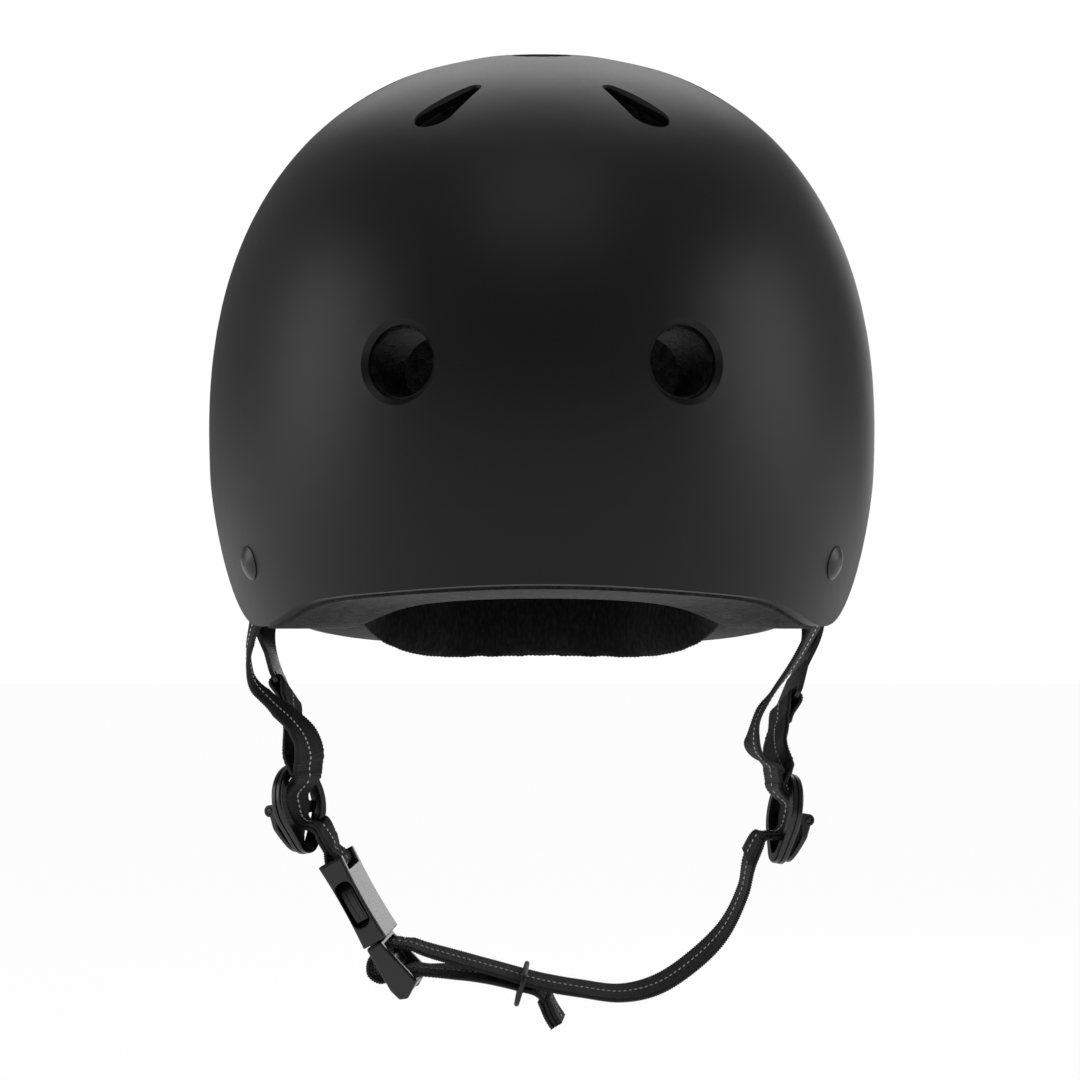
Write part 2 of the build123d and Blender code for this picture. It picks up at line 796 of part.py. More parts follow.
def strap_hanger(side):
    """Moulded strip from the rear rivet down to a foot with a slot for the webbing."""
    depth = shell_wall + webbing_gap + webbing_layer / 2
    place = dome_plane(depth, side * rear_rivet_azimuth, rear_rivet_height)
    foot = hanger_frame(side)
    across = foot.y_dir
    first = place.y_dir
    if across.dot(first) < 0:
        first = -first
    sunk = -hanger_sink_share * webbing_layer
    points = [
        place.from_local_coords(Vector(hanger_above, 0, 0)),
        place.origin,
        place.from_local_coords(Vector(-hanger_above, 0, sunk)),
    ]
    for way, out_share in hanger_bow_shares:
        bow = Vector(side * out_share * hanger_reach, 0, 0)
        points.append(place.origin + (foot.origin - place.origin) * way + bow)
    points.append(foot.origin)
    points.append(foot.from_local_coords(Vector(2 * webbing_layer, 0, 0)))
    turns = (0, 0, 1 / 6, 1 / 2, 3 / 4, 1, 1, 1)
    stations = []
    for point, turn in zip(points, turns):
        stations.append((point, blend_across(first, across, turn), hanger_width, webbing_layer))
    strip = band(stations)
    hole = Cylinder(rivet_shank_radius + rivet_clearance, 4 * shell_wall)
    strip -= dome_plane(0, side * rear_rivet_azimuth, rear_rivet_height) * hole
    corner = hanger_corner
    half = hanger_foot_width / 2 - corner
    shoulder = Rectangle(2 * corner, hanger_width)
    foot_face = Pos(hanger_foot_length - corner, half) * Circle(corner)
    other = Pos(hanger_foot_length - corner, -half) * Circle(corner)
    outline = make_hull(shoulder.edges() + foot_face.edges() + other.edges())
    slot_middle = hanger_foot_length - hanger_bar - hanger_slot / 2
    outline -= Pos(slot_middle, 0) * SlotOverall(hanger_slot_length, hanger_slot, rotation=90)
    plate = extrude(foot * outline, amount=webbing_layer / 2, both=True)
    return strip + plate


def bar_loop(length, thickness, layer, run):
    """Webbing folded round a flat bar at the origin and running off along X, in the XZ plane."""
    inner_half = thickness / 2 + end_gap
    inner_far = length / 2 + end_gap
    outer = Pos(-(inner_far - inner_half), 0) * Circle(inner_half + layer)
    outer_edge = Pos(run, 0) * Rectangle(layer, 2 * layer)
    inner = Pos(-(inner_far - inner_half), 0) * Circle(inner_half)
    inner_end = Pos(inner_far - inner_half, 0) * Circle(inner_half)
    near = Pos(inner_far - inner_half, 0) * Circle(inner_half + layer)
    shape = make_hull(outer.edges() + outer_edge.edges() + near.edges())
    shape -= make_hull(inner.edges() + inner_end.edges())
    return extrude(Plane.XZ * shape, amount=webbing_width / 2, both=True)


def rear_webbing(side, shares):
    """Rear strap: folded round the hanger's foot bar, sewn to itself and on to the divider."""
    foot = hanger_frame(side)
    bar_middle = hanger_foot_length - hanger_bar / 2
    run = 2 * doubled + hanger_bar / 2
    loop = Pos(bar_middle, 0, 0) * bar_loop(hanger_bar, webbing_layer, webbing_layer, run)
    start = foot.from_local_coords(Vector(bar_middle + run, 0, 0))
    ends = strap_end(side, 1)
    after = foot.from_local_coords(Vector(bar_middle + run + doubled, 0, 0))
    middle = strap_course(after, ends[0], shares, side)
    courses = [start, after] + middle + ends
    across = foot.y_dir
    final = divider_plane(side).x_dir
    if across.dot(final) < 0:
        final = -final
    stations = []
    for number, point in enumerate(courses):
        turn = min(max(number - 1, 0) / (len(middle) + 1), 1)
        thickness = doubled if number < 2 else webbing_layer
        stations.append((point, blend_across(across, final, turn), webbing_width, thickness))
    return foot * loop + band(stations)


def buckle_plane():
    """Frame at the middle of the buckle's mouth: X towards the plug, Y across and Z out of its face."""
    lean = radians(buckle_lean)
    roll = radians(buckle_roll)
    axis = Vector(cos(lean), 0, -sin(lean))
    face = Vector(sin(lean) * cos(roll), -sin(roll), cos(lean) * cos(roll))
    return Plane(origin=Vector(*mouth_point), x_dir=axis, z_dir=face)


def buckle_socket():
    """Socket: a flat box with a waist, side windows for the arms and a bar for the webbing."""
    half = buckle_thickness / 2
    long = socket_length
    waist = half - socket_waist
    upper = Spline((-long, half), (-long / 2, waist), (0, half))
    lower = Spline((0, -half), (-long / 2, -waist), (-long, -half))
    side = [upper, Line((0, half), (0, -half)), lower, Line((-long, -half), (-long, half))]
    body = extrude(Plane.XZ * make_face(side), amount=buckle_width / 2, both=True)
    sides = body.faces().sort_by(Axis.Y)
    body = fillet(sides[0].edges() + sides[-1].edges(), buckle_edge)
    inner = buckle_width / 2 - socket_cheek
    notch = Box(2 * socket_notch, 2 * inner, 2 * buckle_thickness)
    body -= Pos(-long, 0, 0) * notch
    cavity_half = arm_thickness / 2 + buckle_clearance
    cavity_width = 2 * (buckle_width / 2 - socket_wall - buckle_clearance)
    low = (Align.MAX, Align.CENTER, Align.CENTER)
    body -= Pos(overrun, 0, 0) * Box(cavity_depth + overrun, cavity_width, 2 * cavity_half, align=low)
    window = RectangleRounded(window_length, window_height, window_corner)
    tool = extrude(Plane.XZ * window, amount=buckle_width / 2 - cavity_width / 2 + overrun)
    for way in (-1, 1):
        start = cavity_width / 2 - overrun
        place = Pos(-window_centre, -way * start if way > 0 else start, -window_drop)
        cutter = tool if way > 0 else mirror(tool, about=Plane.XZ)
        body -= place * cutter
    bar = Rot(90, 0, 0) * Cylinder(socket_bar_radius, 2 * inner + socket_cheek)
    body += Pos(socket_bar_inset - long, 0, 0) * bar
    return buckle_plane() * body


def short_webbing():
    """Short chin strap: from the right divider to the socket, folded round its bar."""
    frame = buckle_plane()
    bar = socket_bar_inset - socket_length
    size = 2 * socket_bar_radius
    run = size + webbing_layer
    loop = Pos(bar, 0, 0) * (Rot(0, 0, 180) * bar_loop(size, size, webbing_layer, run))
    end = frame.from_local_coords(Vector(bar - run, 0, 0))
    exits = chin_exit(-1)
    across = divider_plane(-1).x_dir
    final = frame.y_dir
    if across.dot(final) < 0:
        across = -across
    stations = [(exits[0], across, first_width_share * webbing_width, doubled)]
    halfway = blend_across(across, final, 1 / 3)
    stations.append((exits[1], halfway, second_width_share * webbing_width, doubled))
    before = frame.from_local_coords(Vector(bar - run - webbing_layer, 0, webbing_gap))
    stations.append((before, final, webbing_width, doubled))
    stations.append((end, final, webbing_width, doubled))
    return frame * loop + band(stations)


def chin_exit(side):
    """First two places of a chin strap behind the end of the divider's webbing."""
    last = Vector(*divider_point(side, *divider_course_shares[-1][:2]))
    before = Vector(*divider_point(side, *divider_course_shares[-2][:2]))
    along = (last - before).normalized()
    return [last + along * end_gap, last + along * (end_gap + webbing_layer + end_gap)]


def chin_place(left_share, up_share):
    return Vector(left_share * chin_half_width, -chin_fore, chin_level + up_share * chin_half_width)


def rolled(roll):
    return Vector(0, cos(radians(roll)), sin(radians(roll)))


def long_webbing():
    """Long chin strap from the left divider under the chin to the plug."""
    exits = chin_exit(1)
    across = divider_plane(1).x_dir
    stations = [(exits[0], across, first_width_share * webbing_width, doubled)]
    stations.append((exits[1], across, second_width_share * webbing_width, doubled))
    for number, (left_share, up_share, roll) in enumerate(chin_shares):
        turn = min((number + 1) / 3, 1)
        direction = blend_across(across, rolled(roll), turn)
        stations.append((chin_place(left_share, up_share), direction, webbing_width, webbing_layer))
    frame = buckle_plane()
    first, second = [Vector(place[0], 0, place[1]) * plug_length for place in plug_loop_shares[:2]]
    for away in (end_gap + doubled, end_gap):
        end = first + (first - second).normalized() * away
        stations.append((frame.from_local_coords(end), frame.y_dir, webbing_width, webbing_layer))
    return band(stations)


def webbing_tail():
    """Its end: in between wall and bar of the plug, round the bar and back under the chin strap."""
    frame = buckle_plane()
    stations = []
    for along_share, out_share in plug_loop_shares:
        point = frame.from_local_coords(Vector(along_share, 0, out_share) * plug_length)
        stations.append((point, frame.y_dir, webbing_width, webbing_layer))
    last = len(free_end_shares) - 1
    for number, (left_share, up_share, roll) in enumerate(free_end_shares):
        thickness = webbing_layer if number < last - 2 else free_end_layers * webbing_layer
        stations.append((chin_place(left_share, up_share), rolled(roll), webbing_width, thickness))
    return band(stations)


def plug_inner():
    return buckle_width / 2 - plug_cheek


def buckle_plug():
    """Plug: cheeks, a front wall with a guide tongue and two bars for the webbing."""
    points = [(along * plug_length, out * plug_length) for along, out in cheek_shares]
    side = Plane.XZ * make_face(Polyline(*points, close=True))
    block = extrude(side, amount=buckle_width / 2, both=True)
    ends = block.faces().sort_by(Axis.Y)
    block = fillet(ends[0].edges() + ends[-1].edges(), buckle_edge / 2)
    inner = plug_inner()
    start = buckle_clearance
    opening = Box(2 * plug_length, 2 * inner, 2 * plug_length, align=(Align.MIN, Align.CENTER, Align.CENTER))
    plug = block - Pos(start + plug_wall, 0, 0) * opening
    reach = 2 * inner + plug_cheek
    bar = Box(plug_bar_length, reach, plug_bar_thickness)
    plug += Pos(plug_bar_centre, 0, 0) * fillet(bar.edges().filter_by(Axis.Y), plug_bar_thickness / 3)
    end_bar = Rot(90, 0, 0) * Cylinder(plug_end_bar_radius, reach)
    plug += Pos(plug_end_bar_centre, 0, plug_end_bar_radius) * end_bar
    low = (Align.MAX, Align.CENTER, Align.CENTER)
    tongue = Box(tongue_length, 2 * tongue_half_width, 2 * tongue_half_thickness, align=low)
    plug += Pos(start + plug_wall / 2, 0, 0) * tongue
    return buckle_plane() * plug


def buckle_arm(way):
    """One springy arm with a ribbed grip in the socket's window."""
    points = []
    for along, out in arm_shares:
        points.append((along * plug_length, out * plug_length))
    root = Pos(-arm_root_back, arm_root_out) * Circle(arm_root_radius)
    shoulder = Pos(points[-1][0], points[-1][1] + arm_root_radius) * Circle(arm_root_radius)
    stem = make_hull(root.edges() + shoulder.edges())
    neck = Pos(points[0][0], points[0][1] - arm_root_radius) * Circle(arm_root_radius)
    stem += make_hull(root.edges() + neck.edges())
    outer = Spline(points[1], points[2], points[3])
    head = [outer, Polyline(*points[3:]), Line(points[-1], points[0]), Line(points[0], points[1])]
    arm = extrude(stem + make_face(head), amount=arm_thickness / 2, both=True)
    arm = arm.clean()
    grip = make_face([outer, Line(points[3], points[1])])
    rib = Pos(0, grip_rib, 0) * extrude(grip, amount=grip_rib_width / 2, both=True)
    for level in (-arm_thickness / 4, arm_thickness / 4):
        arm += Pos(0, 0, level) * rib
    if way < 0:
        arm = mirror(arm, about=Plane.XZ)
    return buckle_plane() * arm


def keeper_ring():
    """Rubber ring that holds the free end against the chin strap."""
    slope = radians(strap_slope)
    on_line = -keeper_place * sin(slope) / cos(slope)
    anchor = chin_place(0, chin_shares[7][1]) + Vector(keeper_place, 0, on_line)
    along = Vector(-cos(slope), 0, sin(slope))
    up = Vector(sin(slope), 0, cos(slope))
    across = rolled(chin_shares[7][2])
    across = (across - along * along.dot(across)).normalized()
    frame = Plane(origin=anchor, x_dir=across, z_dir=along)
    height = keeper_opening + keeper_wire
    width = webbing_width + 2 * keeper_clearance + keeper_wire
    rise = keeper_clearance + webbing_layer / 2 + keeper_wire / 2 - height / 2
    if frame.y_dir.dot(up) < 0:
        rise = -rise
    path = frame * Pos(0, rise) * RectangleRounded(width, height, keeper_corner)
    wire = path.wire()
    section = Plane(origin=wire @ 0, z_dir=wire % 0) * Circle(keeper_wire / 2)
    return sweep(section, path=wire)


def build():
    os.makedirs("parts", exist_ok=True)
    parts = {}
    parts["outer_shell"] = outer_shell()
    parts["eps_liner"] = eps_liner()
    parts["brow_pad"] = band_pad(*brow_span, *brow_heights, 0, (3, 9), pad_sections)
    parts["rear_pad"] = band_pad(*rear_span, *rear_heights, rear_drop, (4, 8), pad_sections)
    parts["side_pad_left"] = band_pad(*side_span, *side_heights, 0, (), side_pad_sections)
    parts["side_pad_right"] = mirror(parts["side_pad_left"], about=Plane.YZ)
    parts["crown_pad"] = crown_pad()
    parts["hook_patches"] = hook_patches()
    parts["strap_rivets"] = strap_rivets()
    parts["rivet_washers"] = rivet_washers()
    for side, name in ((1, "left"), (-1, "right")):
        frame = divider_plane(side)
        parts["adjuster_frame_" + name] = frame * adjuster_frame()
        parts["cam_lever_" + name] = frame * cam_lever()
        parts["divider_webbing_" + name] = divider_webbing(side)
        parts["strap_hanger_" + name] = strap_hanger(side)
    parts["front_webbing_left"] = front_webbing(1, front_strap_left_shares)
    parts["front_webbing_right"] = front_webbing(-1, front_strap_right_shares)
    parts["rear_webbing_left"] = rear_webbing(1, rear_strap_left_shares)
    parts["rear_webbing_right"] = rear_webbing(-1, rear_strap_right_shares)
    parts["buckle_socket"] = buckle_socket()
    parts["chin_webbing_short"] = short_webbing()
    parts["chin_webbing_long"] = long_webbing()
    parts["buckle_plug"] = buckle_plug()
    parts["webbing_tail"] = webbing_tail()
    parts["buckle_arm_front"] = buckle_arm(-1)
    parts["buckle_arm_rear"] = buckle_arm(1)
    parts["keeper_ring"] = keeper_ring()
    for name, shape in parts.items():
        export_step(shape, "parts/" + name + ".step")


build()
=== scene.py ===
import json
import math
import bpy
import numpy as np
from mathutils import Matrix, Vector
from mathutils.bvhtree import BVHTree


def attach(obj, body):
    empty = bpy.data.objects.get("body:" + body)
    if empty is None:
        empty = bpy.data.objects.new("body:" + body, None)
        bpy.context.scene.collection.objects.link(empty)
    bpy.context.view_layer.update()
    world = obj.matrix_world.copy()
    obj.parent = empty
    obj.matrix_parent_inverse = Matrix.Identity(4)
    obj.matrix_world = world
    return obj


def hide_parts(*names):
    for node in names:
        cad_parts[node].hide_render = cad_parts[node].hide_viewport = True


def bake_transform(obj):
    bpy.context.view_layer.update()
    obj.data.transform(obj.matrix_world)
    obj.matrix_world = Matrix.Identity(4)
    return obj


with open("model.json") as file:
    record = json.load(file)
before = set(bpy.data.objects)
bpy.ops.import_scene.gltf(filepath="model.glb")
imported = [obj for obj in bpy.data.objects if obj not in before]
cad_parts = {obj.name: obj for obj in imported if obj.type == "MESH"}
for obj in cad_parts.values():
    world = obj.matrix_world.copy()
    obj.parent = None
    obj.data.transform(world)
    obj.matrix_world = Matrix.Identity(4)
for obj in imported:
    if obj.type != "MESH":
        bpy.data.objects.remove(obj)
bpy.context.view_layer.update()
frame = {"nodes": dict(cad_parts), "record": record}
nodes = frame["nodes"]
MM = 0.001
# Stands in for a length of zero where one is divided by
TINY = 1e-9


def material(name, color, roughness, metallic=0.0):
    """A new material, its node tree, its shader and a function that adds a node with its values."""
    m = bpy.data.materials.new(name)
    m.use_nodes = True
    tree = m.node_tree
    shader = tree.nodes["Principled BSDF"]
    shader.inputs["Base Color"].default_value = (*color, 1)
    shader.inputs["Roughness"].default_value = roughness
    shader.inputs["Metallic"].default_value = metallic

    def add(kind, **values):
        node = tree.nodes.new(kind)
        for key, value in values.items():
            node.inputs[key.replace("_", " ")].default_value = value
        return node

    return m, tree, shader, add


def link(tree, a, b):
    """A link from one node's output to another's input."""
    tree.links.new(a, b)


def two_tone(add, low, high, low_until, high_from):
    """A ramp from one colour to another between two places."""
    ramp = add("ShaderNodeValToRGB")
    for stop, color, place in zip(ramp.color_ramp.elements, (low, high), (low_until, high_from)):
        stop.color = (*color, 1)
        stop.position = place
    return ramp


def raised(tree, shader, add, height, strength, depth):
    """The shader's surface raised and lowered by a height."""
    bump = add("ShaderNodeBump", Strength=strength, Distance=depth)
    link(tree, height, bump.inputs["Height"])
    link(tree, bump.outputs["Normal"], shader.inputs["Normal"])


GRAIN = {
    "detail": 4.0,
    "dark_until": 0.35,
    "light_from": 0.65,
    "smooth_until": 0.3,
    "rough_from": 0.7,
    "roughness_spread": 0.04,
    "depth": 0.2 * MM,
}


def plain(name, color, roughness, bump, scale, spread=0.15, metallic=0.0):
    """A fine-grained surface: noise changes its colour and roughness a little and raises it."""
    m, tree, shader, add = material(name, color, roughness, metallic)
    place = add("ShaderNodeTexCoord")
    noise = add("ShaderNodeTexNoise", Scale=scale, Detail=GRAIN["detail"])
    link(tree, place.outputs["Object"], noise.inputs["Vector"])
    low = tuple(c * (1 - spread) for c in color)
    high = tuple(c * (1 + spread) for c in color)
    ramp = two_tone(add, low, high, GRAIN["dark_until"], GRAIN["light_from"])
    link(tree, noise.outputs["Fac"], ramp.inputs["Fac"])
    link(tree, ramp.outputs["Color"], shader.inputs["Base Color"])
    rough = add(
        "ShaderNodeMapRange",
        From_Min=GRAIN["smooth_until"],
        From_Max=GRAIN["rough_from"],
        To_Min=roughness - GRAIN["roughness_spread"],
        To_Max=roughness + GRAIN["roughness_spread"],
    )
    link(tree, noise.outputs["Fac"], rough.inputs["Value"])
    link(tree, rough.outputs["Result"], shader.inputs["Roughness"])
    raised(tree, shader, add, noise.outputs["Fac"], bump, GRAIN["depth"])
    return m


FOAM = {
    "cell_scale": 420.0,
    "grain_scale": 2600.0,
    "grain_detail": 3.0,
    "grain_share": 0.6,
    "dark": (0.003, 0.003, 0.0032),
    "light": (0.034, 0.034, 0.035),
    "dark_until": 0.25,
    "light_from": 0.9,
    "groove_width": 0.12,
    "bump": 0.5,
    "depth": 0.3 * MM,
}


def foam():
    """Black bead foam: packed cells in several greys, with a fine grain and grooves between them."""
    m, tree, shader, add = material("bead_foam", (0.02, 0.02, 0.021), 0.6)
    place = add("ShaderNodeTexCoord")
    cells = add("ShaderNodeTexVoronoi", Scale=FOAM["cell_scale"])
    cells.feature = "DISTANCE_TO_EDGE"
    shade = add("ShaderNodeTexVoronoi", Scale=FOAM["cell_scale"])
    grain = add("ShaderNodeTexNoise", Scale=FOAM["grain_scale"], Detail=FOAM["grain_detail"])
    for n in (cells, shade, grain):
        link(tree, place.outputs["Object"], n.inputs["Vector"])
    ramp = two_tone(add, FOAM["dark"], FOAM["light"], FOAM["dark_until"], FOAM["light_from"])
    link(tree, shade.outputs["Color"], ramp.inputs["Fac"])
    mix = add("ShaderNodeMixRGB")
    mix.blend_type = "MULTIPLY"
    mix.inputs["Fac"].default_value = FOAM["grain_share"]
    link(tree, ramp.outputs["Color"], mix.inputs["Color1"])
    link(tree, grain.outputs["Fac"], mix.inputs["Color2"])
    link(tree, mix.outputs["Color"], shader.inputs["Base Color"])
    groove = add("ShaderNodeMapRange", From_Min=0.0, From_Max=FOAM["groove_width"], To_Min=0.0, To_Max=1.0)
    link(tree, cells.outputs["Distance"], groove.inputs["Value"])
    raised(tree, shader, add, groove.outputs["Result"], FOAM["bump"], FOAM["depth"])
    return m


KNIT = {
    "loop_scale": 1500.0,
    "fleck_scale": 900.0,
    "fleck_detail": 5.0,
    "upright": (1.0, 1.0, 0.36),
    "dark": (0.0022, 0.0022, 0.0024),
    "light": (0.017, 0.017, 0.018),
    "dark_until": 0.42,
    "light_from": 0.72,
    "sheen": 0.12,
    "sheen_roughness": 0.5,
    "bump": 0.5,
    "depth": 0.2 * MM,
}


def knit():
    """Charcoal knit: fine upright loops with short lighter flecks."""
    m, tree, shader, add = material("knit", (0.012, 0.012, 0.013), 0.92)
    shader.inputs["Sheen Weight"].default_value = KNIT["sheen"]
    shader.inputs["Sheen Roughness"].default_value = KNIT["sheen_roughness"]
    place = add("ShaderNodeTexCoord")
    stretch = add("ShaderNodeMapping", Scale=KNIT["upright"])
    link(tree, place.outputs["Object"], stretch.inputs["Vector"])
    loops = add("ShaderNodeTexVoronoi", Scale=KNIT["loop_scale"])
    fleck = add("ShaderNodeTexNoise", Scale=KNIT["fleck_scale"], Detail=KNIT["fleck_detail"])
    for n in (loops, fleck):
        link(tree, stretch.outputs["Vector"], n.inputs["Vector"])
    ramp = two_tone(add, KNIT["dark"], KNIT["light"], KNIT["dark_until"], KNIT["light_from"])
    link(tree, fleck.outputs["Fac"], ramp.inputs["Fac"])
    link(tree, ramp.outputs["Color"], shader.inputs["Base Color"])
    raised(tree, shader, add, loops.outputs["Distance"], KNIT["bump"], KNIT["depth"])
    return m


# A plain look's name, colour, roughness, bump, scale of its grain, spread of its colour, and metal
looks = {
    "shell": plain("matt_shell", (0.0075, 0.0075, 0.0082), 0.43, 0.05, 2600.0),
    "liner_foam": foam(),
    "pad_knit": knit(),
    "hook_tape": plain("hook", (0.01, 0.01, 0.01), 0.8, 0.4, 1500.0),
    "rivet_metal": plain("rivet", (0.012, 0.012, 0.0125), 0.35, 0.05, 900.0),
    "washer_metal": plain("washer", (0.5, 0.5, 0.51), 0.35, 0.05, 900.0, 0.08, 1.0),
    "moulded_black": plain("acetal", (0.007, 0.007, 0.0074), 0.27, 0.02, 1500.0, 0.08),
    "webbing": plain("webbing", (0.0075, 0.0075, 0.0078), 0.72, 0.6, 4000.0, 0.5),
    "keeper_rubber": plain("rubber", (0.012, 0.012, 0.012), 0.5, 0.1, 900.0),
}
for slot, specular in (("shell", 0.25), ("liner_foam", 0.18), ("pad_knit", 0.2)):
    principled = looks[slot].node_tree.nodes["Principled BSDF"]
    principled.inputs["Specular IOR Level"].default_value = specular
thread = plain("thread", (0.8, 0.8, 0.79), 0.7, 0.3, 4000.0, 0.08)
slots = {part["node"]: part["material_slot"] for part in frame["record"]["subparts"]}
for name, obj in nodes.items():
    obj.data.materials.clear()
    obj.data.materials.append(looks[slots[name]])

FLOOR = {"level": -0.42, "size": 12, "color": (0.9, 0.9, 0.9), "roughness": 0.9, "glow": 0.97}
# How brightly the world lights the helmet, and how brightly the camera sees it
WORLD = {"light": 0.22, "seen": 1.0}
# Each lamp's place, what it is turned to, its width and its power
LAMPS = [
    ((0.0, -0.7, 1.5), (0, 0, -0.1), 1.2, 4.5),
    ((-1.4, -0.1, 0.22), (0, 0, -0.05), 0.9, 6),
    ((1.4, -0.1, 0.22), (0, 0, -0.05), 0.9, 6),
    ((0.0, 1.0, 0.9), (0, 0, -0.1), 1.0, 5),
    ((0.42, 1.35, 0.08), (-0.06, 0, -0.25), 0.5, 1.3),
]
# The camera's place in metres, and half of its angle in degrees
CAMERA = {"place": (-0.0006, -1.2, -0.1285), "half_angle": 8.66}


def seen_by(tree, *kinds):
    """One for a ray of either of two kinds, and zero for any other."""
    rays = tree.nodes.new("ShaderNodeLightPath")
    seen = tree.nodes.new("ShaderNodeMath")
    seen.operation = "MAXIMUM"
    for number, kind in enumerate(kinds):
        link(tree, rays.outputs[kind], seen.inputs[number])
    return seen.outputs[0]


def mixed(tree, share, first, second, surface):
    """A surface that turns from the first shader into the second with the share."""
    mix = tree.nodes.new("ShaderNodeMixShader")
    link(tree, share, mix.inputs["Fac"])
    link(tree, first, mix.inputs[1])
    link(tree, second, mix.inputs[2])
    link(tree, mix.outputs[0], surface)


def bright_to_eye(m, share):
    """The surface glows white by a share for what the eye and reflections see, and keeps its shadows."""
    tree = m.node_tree
    part = tree.nodes.new("ShaderNodeMath")
    part.operation = "MULTIPLY"
    link(tree, seen_by(tree, "Is Camera Ray", "Is Glossy Ray"), part.inputs[0])
    part.inputs[1].default_value = share
    base = tree.nodes["Principled BSDF"]
    glow = tree.nodes.new("ShaderNodeEmission")
    output = tree.nodes["Material Output"]
    mixed(tree, part.outputs[0], base.outputs[0], glow.outputs[0], output.inputs["Surface"])


def stage_floor():
    """A pale floor well below the helmet."""
    bpy.ops.mesh.primitive_plane_add(size=FLOOR["size"], location=(0, 0, FLOOR["level"]))
    floor = bpy.context.object
    floor.name = "floor"
    m = bpy.data.materials.new("floor_pale")
    m.use_nodes = True
    shader = m.node_tree.nodes["Principled BSDF"]
    shader.inputs["Base Color"].default_value = (*FLOOR["color"], 1)
    shader.inputs["Roughness"].default_value = FLOOR["roughness"]
    bright_to_eye(m, FLOOR["glow"])
    floor.data.materials.append(m)


def stage_world():
    """A world that is white to the camera and lights the helmet softly."""
    world = bpy.context.scene.world or bpy.data.worlds.new("studio")
    bpy.context.scene.world = world
    world.use_nodes = True
    tree = world.node_tree
    tree.nodes.clear()
    out = tree.nodes.new("ShaderNodeOutputWorld")
    skies = []
    for strength in (WORLD["light"], WORLD["seen"]):
        sky = tree.nodes.new("ShaderNodeBackground")
        sky.inputs["Color"].default_value = (1, 1, 1, 1)
        sky.inputs["Strength"].default_value = strength
        skies.append(sky.outputs[0])
    mixed(tree, seen_by(tree, "Is Camera Ray", "Is Transmission Ray"), *skies, out.inputs["Surface"])


def stage_lamps():
    """Soft lamps that the camera doesn't see."""
    for number, (place, aim, size, power) in enumerate(LAMPS):
        data = bpy.data.lights.new("lamp_%d" % number, "AREA")
        data.size = size
        data.energy = power
        lamp = bpy.data.objects.new("lamp_%d" % number, data)
        bpy.context.scene.collection.objects.link(lamp)
        lamp.location = place
        lamp.visible_camera = False
        lamp.rotation_euler = (Vector(aim) - Vector(place)).to_track_quat("-Z", "Y").to_euler()


def stage_camera():
    """A level camera in front of the helmet, and the plain view of its colours."""
    data = bpy.data.cameras.new("camera")
    data.sensor_fit = "AUTO"
    data.angle = 2 * math.radians(CAMERA["half_angle"])
    camera = bpy.data.objects.new("camera", data)
    bpy.context.scene.collection.objects.link(camera)
    camera.location = CAMERA["place"]
    camera.rotation_euler = (math.radians(90), 0, 0)
    data.dof.use_dof = False
    bpy.context.scene.camera = camera
    bpy.context.scene.view_settings.view_transform = "Standard"


stage_floor()
stage_world()
stage_lamps()
stage_camera()

# A webbing's ribs: rows of points to a rib, depths as shares of the webbing's thickness, and the share of
# its half width where its edge starts
RIBS = {
    "pitch": 0.8 * MM,
    "rows": 5,
    "height": 0.2,
    "edge_height": 0.26,
    "edge_from": 0.85,
    "scallop": 0.16 * MM,
}
HALF_THICK = 0.78 * MM
# White dashes sewn along the middle, each a capsule that sits in the webbing by its seat share
STITCH = {
    "pitch": 1.85 * MM,
    "length": 1.2 * MM,
    "width": 0.78 * MM,
    "height": 0.5 * MM,
    "seat": 0.8,
    "rings": 5,
    "sides": 8,
}
# Points worked out between two rows of a course, and the fewest rows that a strap gets
CURVE = {"points": 24, "fewest": 8}
# Half of a strap's cross-section: places from its middle to its edge, and the thickness there
COLUMNS = [(0.0, 0.84), (0.16, 0.84), (0.33, 0.84), (0.5, 0.84), (0.66, 0.85), (0.8, 0.88)]
SELVEDGE = [(0.89, 1.0), (0.945, 0.98), (0.98, 0.7), (1.0, 0.0)]


def arc_lengths(points):
    """How far along the line each of its points lies."""
    return np.concatenate([[0], np.cumsum(np.linalg.norm(np.diff(points, axis=0), axis=1))])


def read_at(places, along, table):
    """The table's columns read off at places along it."""
    return np.stack([np.interp(places, along, column) for column in table.T], axis=-1)


def unit(v):
    """The same directions with a length of one."""
    return v / np.linalg.norm(v, axis=-1, keepdims=True)


def run_through(course):
    """A course's rows drawn through smoothly, and read off evenly along its first three columns."""
    course = np.array(course, float)
    steps = np.linalg.norm(np.diff(course[:, :3], axis=0), axis=1)
    place = np.concatenate([[0], np.cumsum(np.sqrt(steps))])
    slope = np.gradient(course, place, axis=0)
    fine = []
    for i in range(len(course) - 1):
        gap = place[i + 1] - place[i]
        for t in np.linspace(0, 1, CURVE["points"], endpoint=False):
            a = 2 * t**3 - 3 * t**2 + 1
            b = t**3 - 2 * t**2 + t
            c = 3 * t**2 - 2 * t**3
            d = t**3 - t**2
            fine.append(a * course[i] + b * gap * slope[i] + c * course[i + 1] + d * gap * slope[i + 1])
    fine.append(course[-1])
    fine = np.array(fine)
    along = arc_lengths(fine[:, :3])
    count = max(int(round(along[-1] / RIBS["pitch"] * RIBS["rows"])), CURVE["fewest"])
    even = np.linspace(0, along[-1], count + 1)
    return even, read_at(even, along, fine)


def cross_section():
    """Places across and thicknesses round one row of a strap, edge to edge and back."""
    right = COLUMNS + SELVEDGE
    top = [(-x, z) for x, z in reversed(right[1:])] + right
    bottom = [(x, -z) for x, z in reversed(top[1:-1])]
    return np.array(top + bottom)


